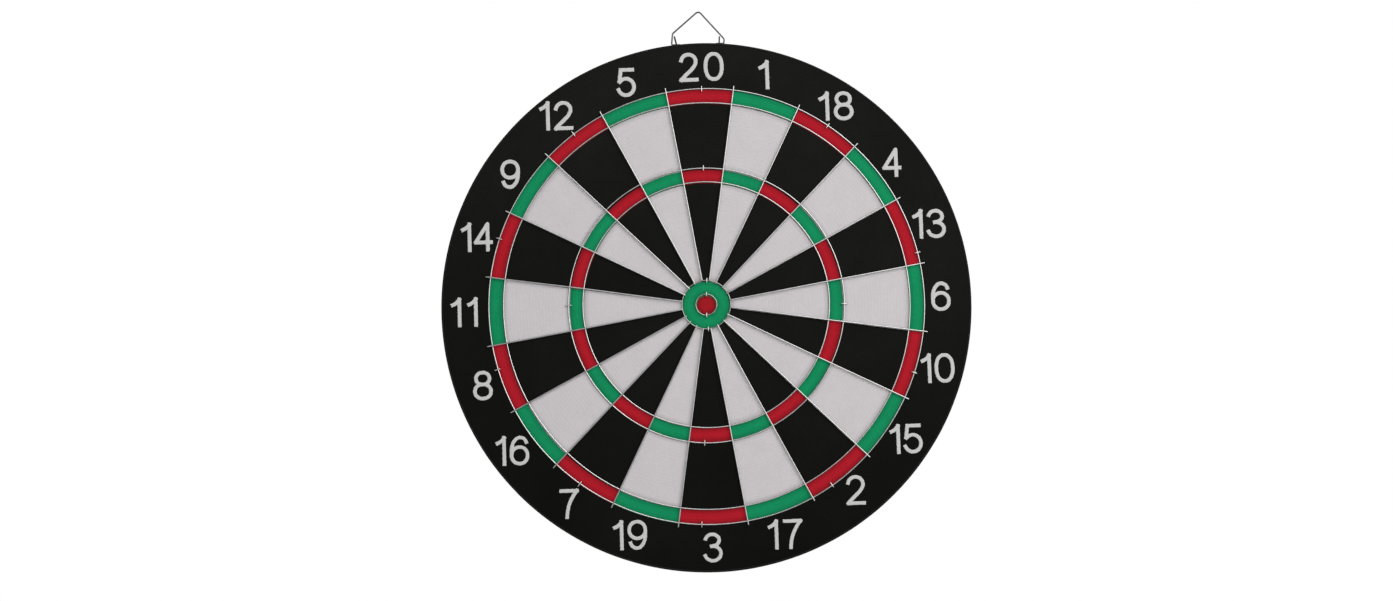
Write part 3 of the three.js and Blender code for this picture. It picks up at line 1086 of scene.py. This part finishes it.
def floor_shape(radius, z):
    """A disc as rings of quads, so that its shading is even."""
    radii = (0.02, 0.3, 0.6, 0.9, 1.2, 2.0, radius)
    count = 96
    vertices = []
    for r in radii:
        for k in range(count):
            a = 2 * math.pi * k / count
            vertices.append((r * math.cos(a), r * math.sin(a), z))
    faces = grid_faces(len(radii), count, True)
    faces.append(tuple(range(count)))
    return vertices, faces


def dome_shape(radius):
    """A ball about the whole stage."""
    rows, count = 24, 48
    vertices = []
    for i in range(1, rows):
        polar = math.pi * i / rows
        across = radius * math.sin(polar)
        for k in range(count):
            a = 2 * math.pi * k / count
            vertices.append((across * math.cos(a), across * math.sin(a), radius * math.cos(polar)))
    return vertices, tube_faces(rows - 1, count, False)


def only_for_camera(made):
    """The camera sees it, and it neither lights nor shades anything."""
    made.visible_diffuse = False
    made.visible_glossy = False
    made.visible_transmission = False
    made.visible_volume_scatter = False
    made.visible_shadow = False


def white_glow(shader):
    """Plain white, whatever the light."""
    white = {"Color": (1, 1, 1, 1), "Strength": 1.0}
    return shader.add("ShaderNodeEmission", white).outputs[0]


def surround_material():
    shader = Shader("stage_surround", {})
    shader.instead(white_glow(shader))
    return shader.material


def floor_material():
    """A pale floor near the board that runs out into the white surround."""
    shader = Shader("stage_floor", {})
    matt = shader.add("ShaderNodeBsdfDiffuse", {"Color": (0.8, 0.8, 0.8, 1)}).outputs[0]
    faint = shader.add("ShaderNodeEmission", {"Strength": 0.3}).outputs[0]
    near = shader.add("ShaderNodeAddShader", {0: matt, 1: faint}).outputs[0]
    flat = shader.add("ShaderNodeVectorMath", {0: shader.place, 1: (1, 1, 0)}, operation="MULTIPLY")
    away = shader.add("ShaderNodeVectorMath", {0: flat.outputs[0]}, operation="LENGTH")
    inputs = {"Value": away.outputs["Value"], "From Min": 0.45, "From Max": 1.1}
    fade = shader.add("ShaderNodeMapRange", inputs, interpolation_type="SMOOTHSTEP")
    mixed = {0: fade.outputs["Result"], 1: near, 2: white_glow(shader)}
    shader.instead(shader.add("ShaderNodeMixShader", mixed).outputs[0])
    return shader.material


def add_stage():
    """A floor some way below the board, in a white surround, under a soft white sky."""
    dome = stage_piece("stage_surround", dome_shape(9.0), surround_material())
    only_for_camera(dome)
    floor = stage_piece("stage_floor", floor_shape(8.0, -0.45), floor_material())
    floor.visible_diffuse = False
    floor.visible_glossy = False
    world = bpy.data.worlds.new("studio")
    bpy.context.scene.world = world
    world.use_nodes = True
    background = world.node_tree.nodes["Background"]
    background.inputs["Color"].default_value = (0.97, 0.985, 1.0, 1)
    background.inputs["Strength"].default_value = 0.42
    bpy.context.scene.view_settings.view_transform = "Standard"


def aimed(place, target):
    """A rotation that looks from place to target."""
    return (Vector(target) - Vector(place)).to_track_quat("-Z", "Y")


def add_lamp(name, place, size, power, colour):
    """A square lamp that looks at the origin: its place and size in metres, its power in watts."""
    lamp = bpy.data.lights.new(name, "AREA")
    lamp.shape = "SQUARE"
    lamp.size = size
    lamp.energy = power
    lamp.color = colour
    made = bpy.data.objects.new(name, lamp)
    made.location = place
    made.rotation_mode = "QUATERNION"
    made.rotation_quaternion = aimed(place, (0, 0, 0))
    made.visible_camera = False
    bpy.context.scene.collection.objects.link(made)


def add_lights():
    """Two large lamps before the board, at the upper right, and one behind it for its rear."""
    add_lamp("key_light", (1.25, -1.9, 0.65), 2.3, 33.0, (1.0, 0.985, 0.965))
    add_lamp("upper_light", (0.75, -1.9, 1.15), 2.0, 15.4, (0.97, 0.985, 1.0))
    add_lamp("back_light", (1.2, 1.5, 1.3), 1.4, 26.0, (1.0, 1.0, 1.0))


# ---------------------------------------------------------------- the camera
CAMERA_DISTANCE = 1.0
CAMERA_BELOW = 0.057
CAMERA_ROLL = 1.85  # degrees
LENS = 32.72
SHIFT = (-0.007035, 0.002943)  # in widths of the picture


def add_camera():
    """Looks at the bull from a little below it, slightly rolled."""
    bull = Vector((0, FACE_Y * MM, 0))
    data = bpy.data.cameras.new("camera")
    data.lens = LENS
    data.sensor_width = 36
    data.shift_x, data.shift_y = SHIFT
    made = bpy.data.objects.new("camera", data)
    made.location = bull + Vector((0, -CAMERA_DISTANCE, -CAMERA_BELOW))
    made.rotation_mode = "QUATERNION"
    roll = Matrix.Rotation(math.radians(-CAMERA_ROLL), 3, "Z").to_quaternion()
    made.rotation_quaternion = aimed(made.location, bull) @ roll
    bpy.context.scene.collection.objects.link(made)
    bpy.context.scene.camera = made


# ---------------------------------------------------------------- the making
def main():
    add_camera()
    add_stage()
    add_lights()
    finishes = {
        # Painted light: the black flock is paler towards the top of the board.
        "black": flock_material("black_flock", linear(19, 19, 17), 0.01, 0.22, 0.08, drift_and_top_light=0.33),
        # Painted shade: these flocks are darker beside the ring wires.
        "white": flock_material("white_flock", linear(203, 198, 200), 0.08, 0.05, wire_shade=0.22),
        "red": flock_material("red_flock", linear(174, 24, 38), 0.05, 0.12, wire_shade=0.34),
        "bull red": flock_material("bull_red_flock", linear(160, 24, 33), 0.05, 0.12, wire_shade=0.38),
        "green": flock_material("green_flock", linear(16, 139, 90), 0.05, 0.12, wire_shade=0.22),
    }
    numeral_finish = flock_material("numeral_flock", linear(200, 199, 197), 0.08, 0.06)
    # Painted light and shade: the spokes, rings and bull wires are one steel wire in three tones,
    # the rings paler for brighter highlights and the bull wires darker for their shade.
    spoke_finish = wire_material("spoke_wire", (0.56, 0.56, 0.55), 0.24, 0.36)
    ring_finish_lit = wire_material("ring_wire", (0.64, 0.64, 0.63), 0.2, 0.3)
    bull_wire_finish_shaded = wire_material("bull_wire", (0.42, 0.42, 0.38), 0.16, 0.34)
    staple_finish = wire_material("staple_wire", (0.74, 0.73, 0.7), 0.22, 0.42)
    bail_finish = wire_material("bail_wire", (0.12, 0.12, 0.118), 0.2, 0.4)
    eye_finish = wire_material("eye_wire", (0.035, 0.035, 0.035), 0.25, 0.45)

    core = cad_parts["paper_coil_core"]
    core.data.materials.clear()
    core.data.materials.append(paper_material())

    add_flocked_face(finishes)
    add_face_sheet(sheet_material())
    # Painted light: the rear flock is paler towards its top.
    add_rear_face(flock_material("rear_flock", linear(31, 31, 29), 0.03, 0.24, 0.1, drift_and_top_light=0.2))
    add_rim_binding(binding_material())
    for number in NUMBERS:
        numeral_piece(number, numeral_finish)

    for index, name in enumerate(RINGS):
        add_ring_wire(name, index, bull_wire_finish_shaded if "bull" in name else ring_finish_lit)
    crossed = [ring_facts(name)[0] for name in list(RINGS)[:5]]
    for index in range(len(NUMBERS)):
        add_spoke(index, crossed, spoke_finish)
    for name in sorted(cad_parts):
        if "staple" in name:
            add_staple(name, staple_finish)
    for name in EYES:
        add_eye(name, eye_finish)
    add_bail(bail_finish)


main()
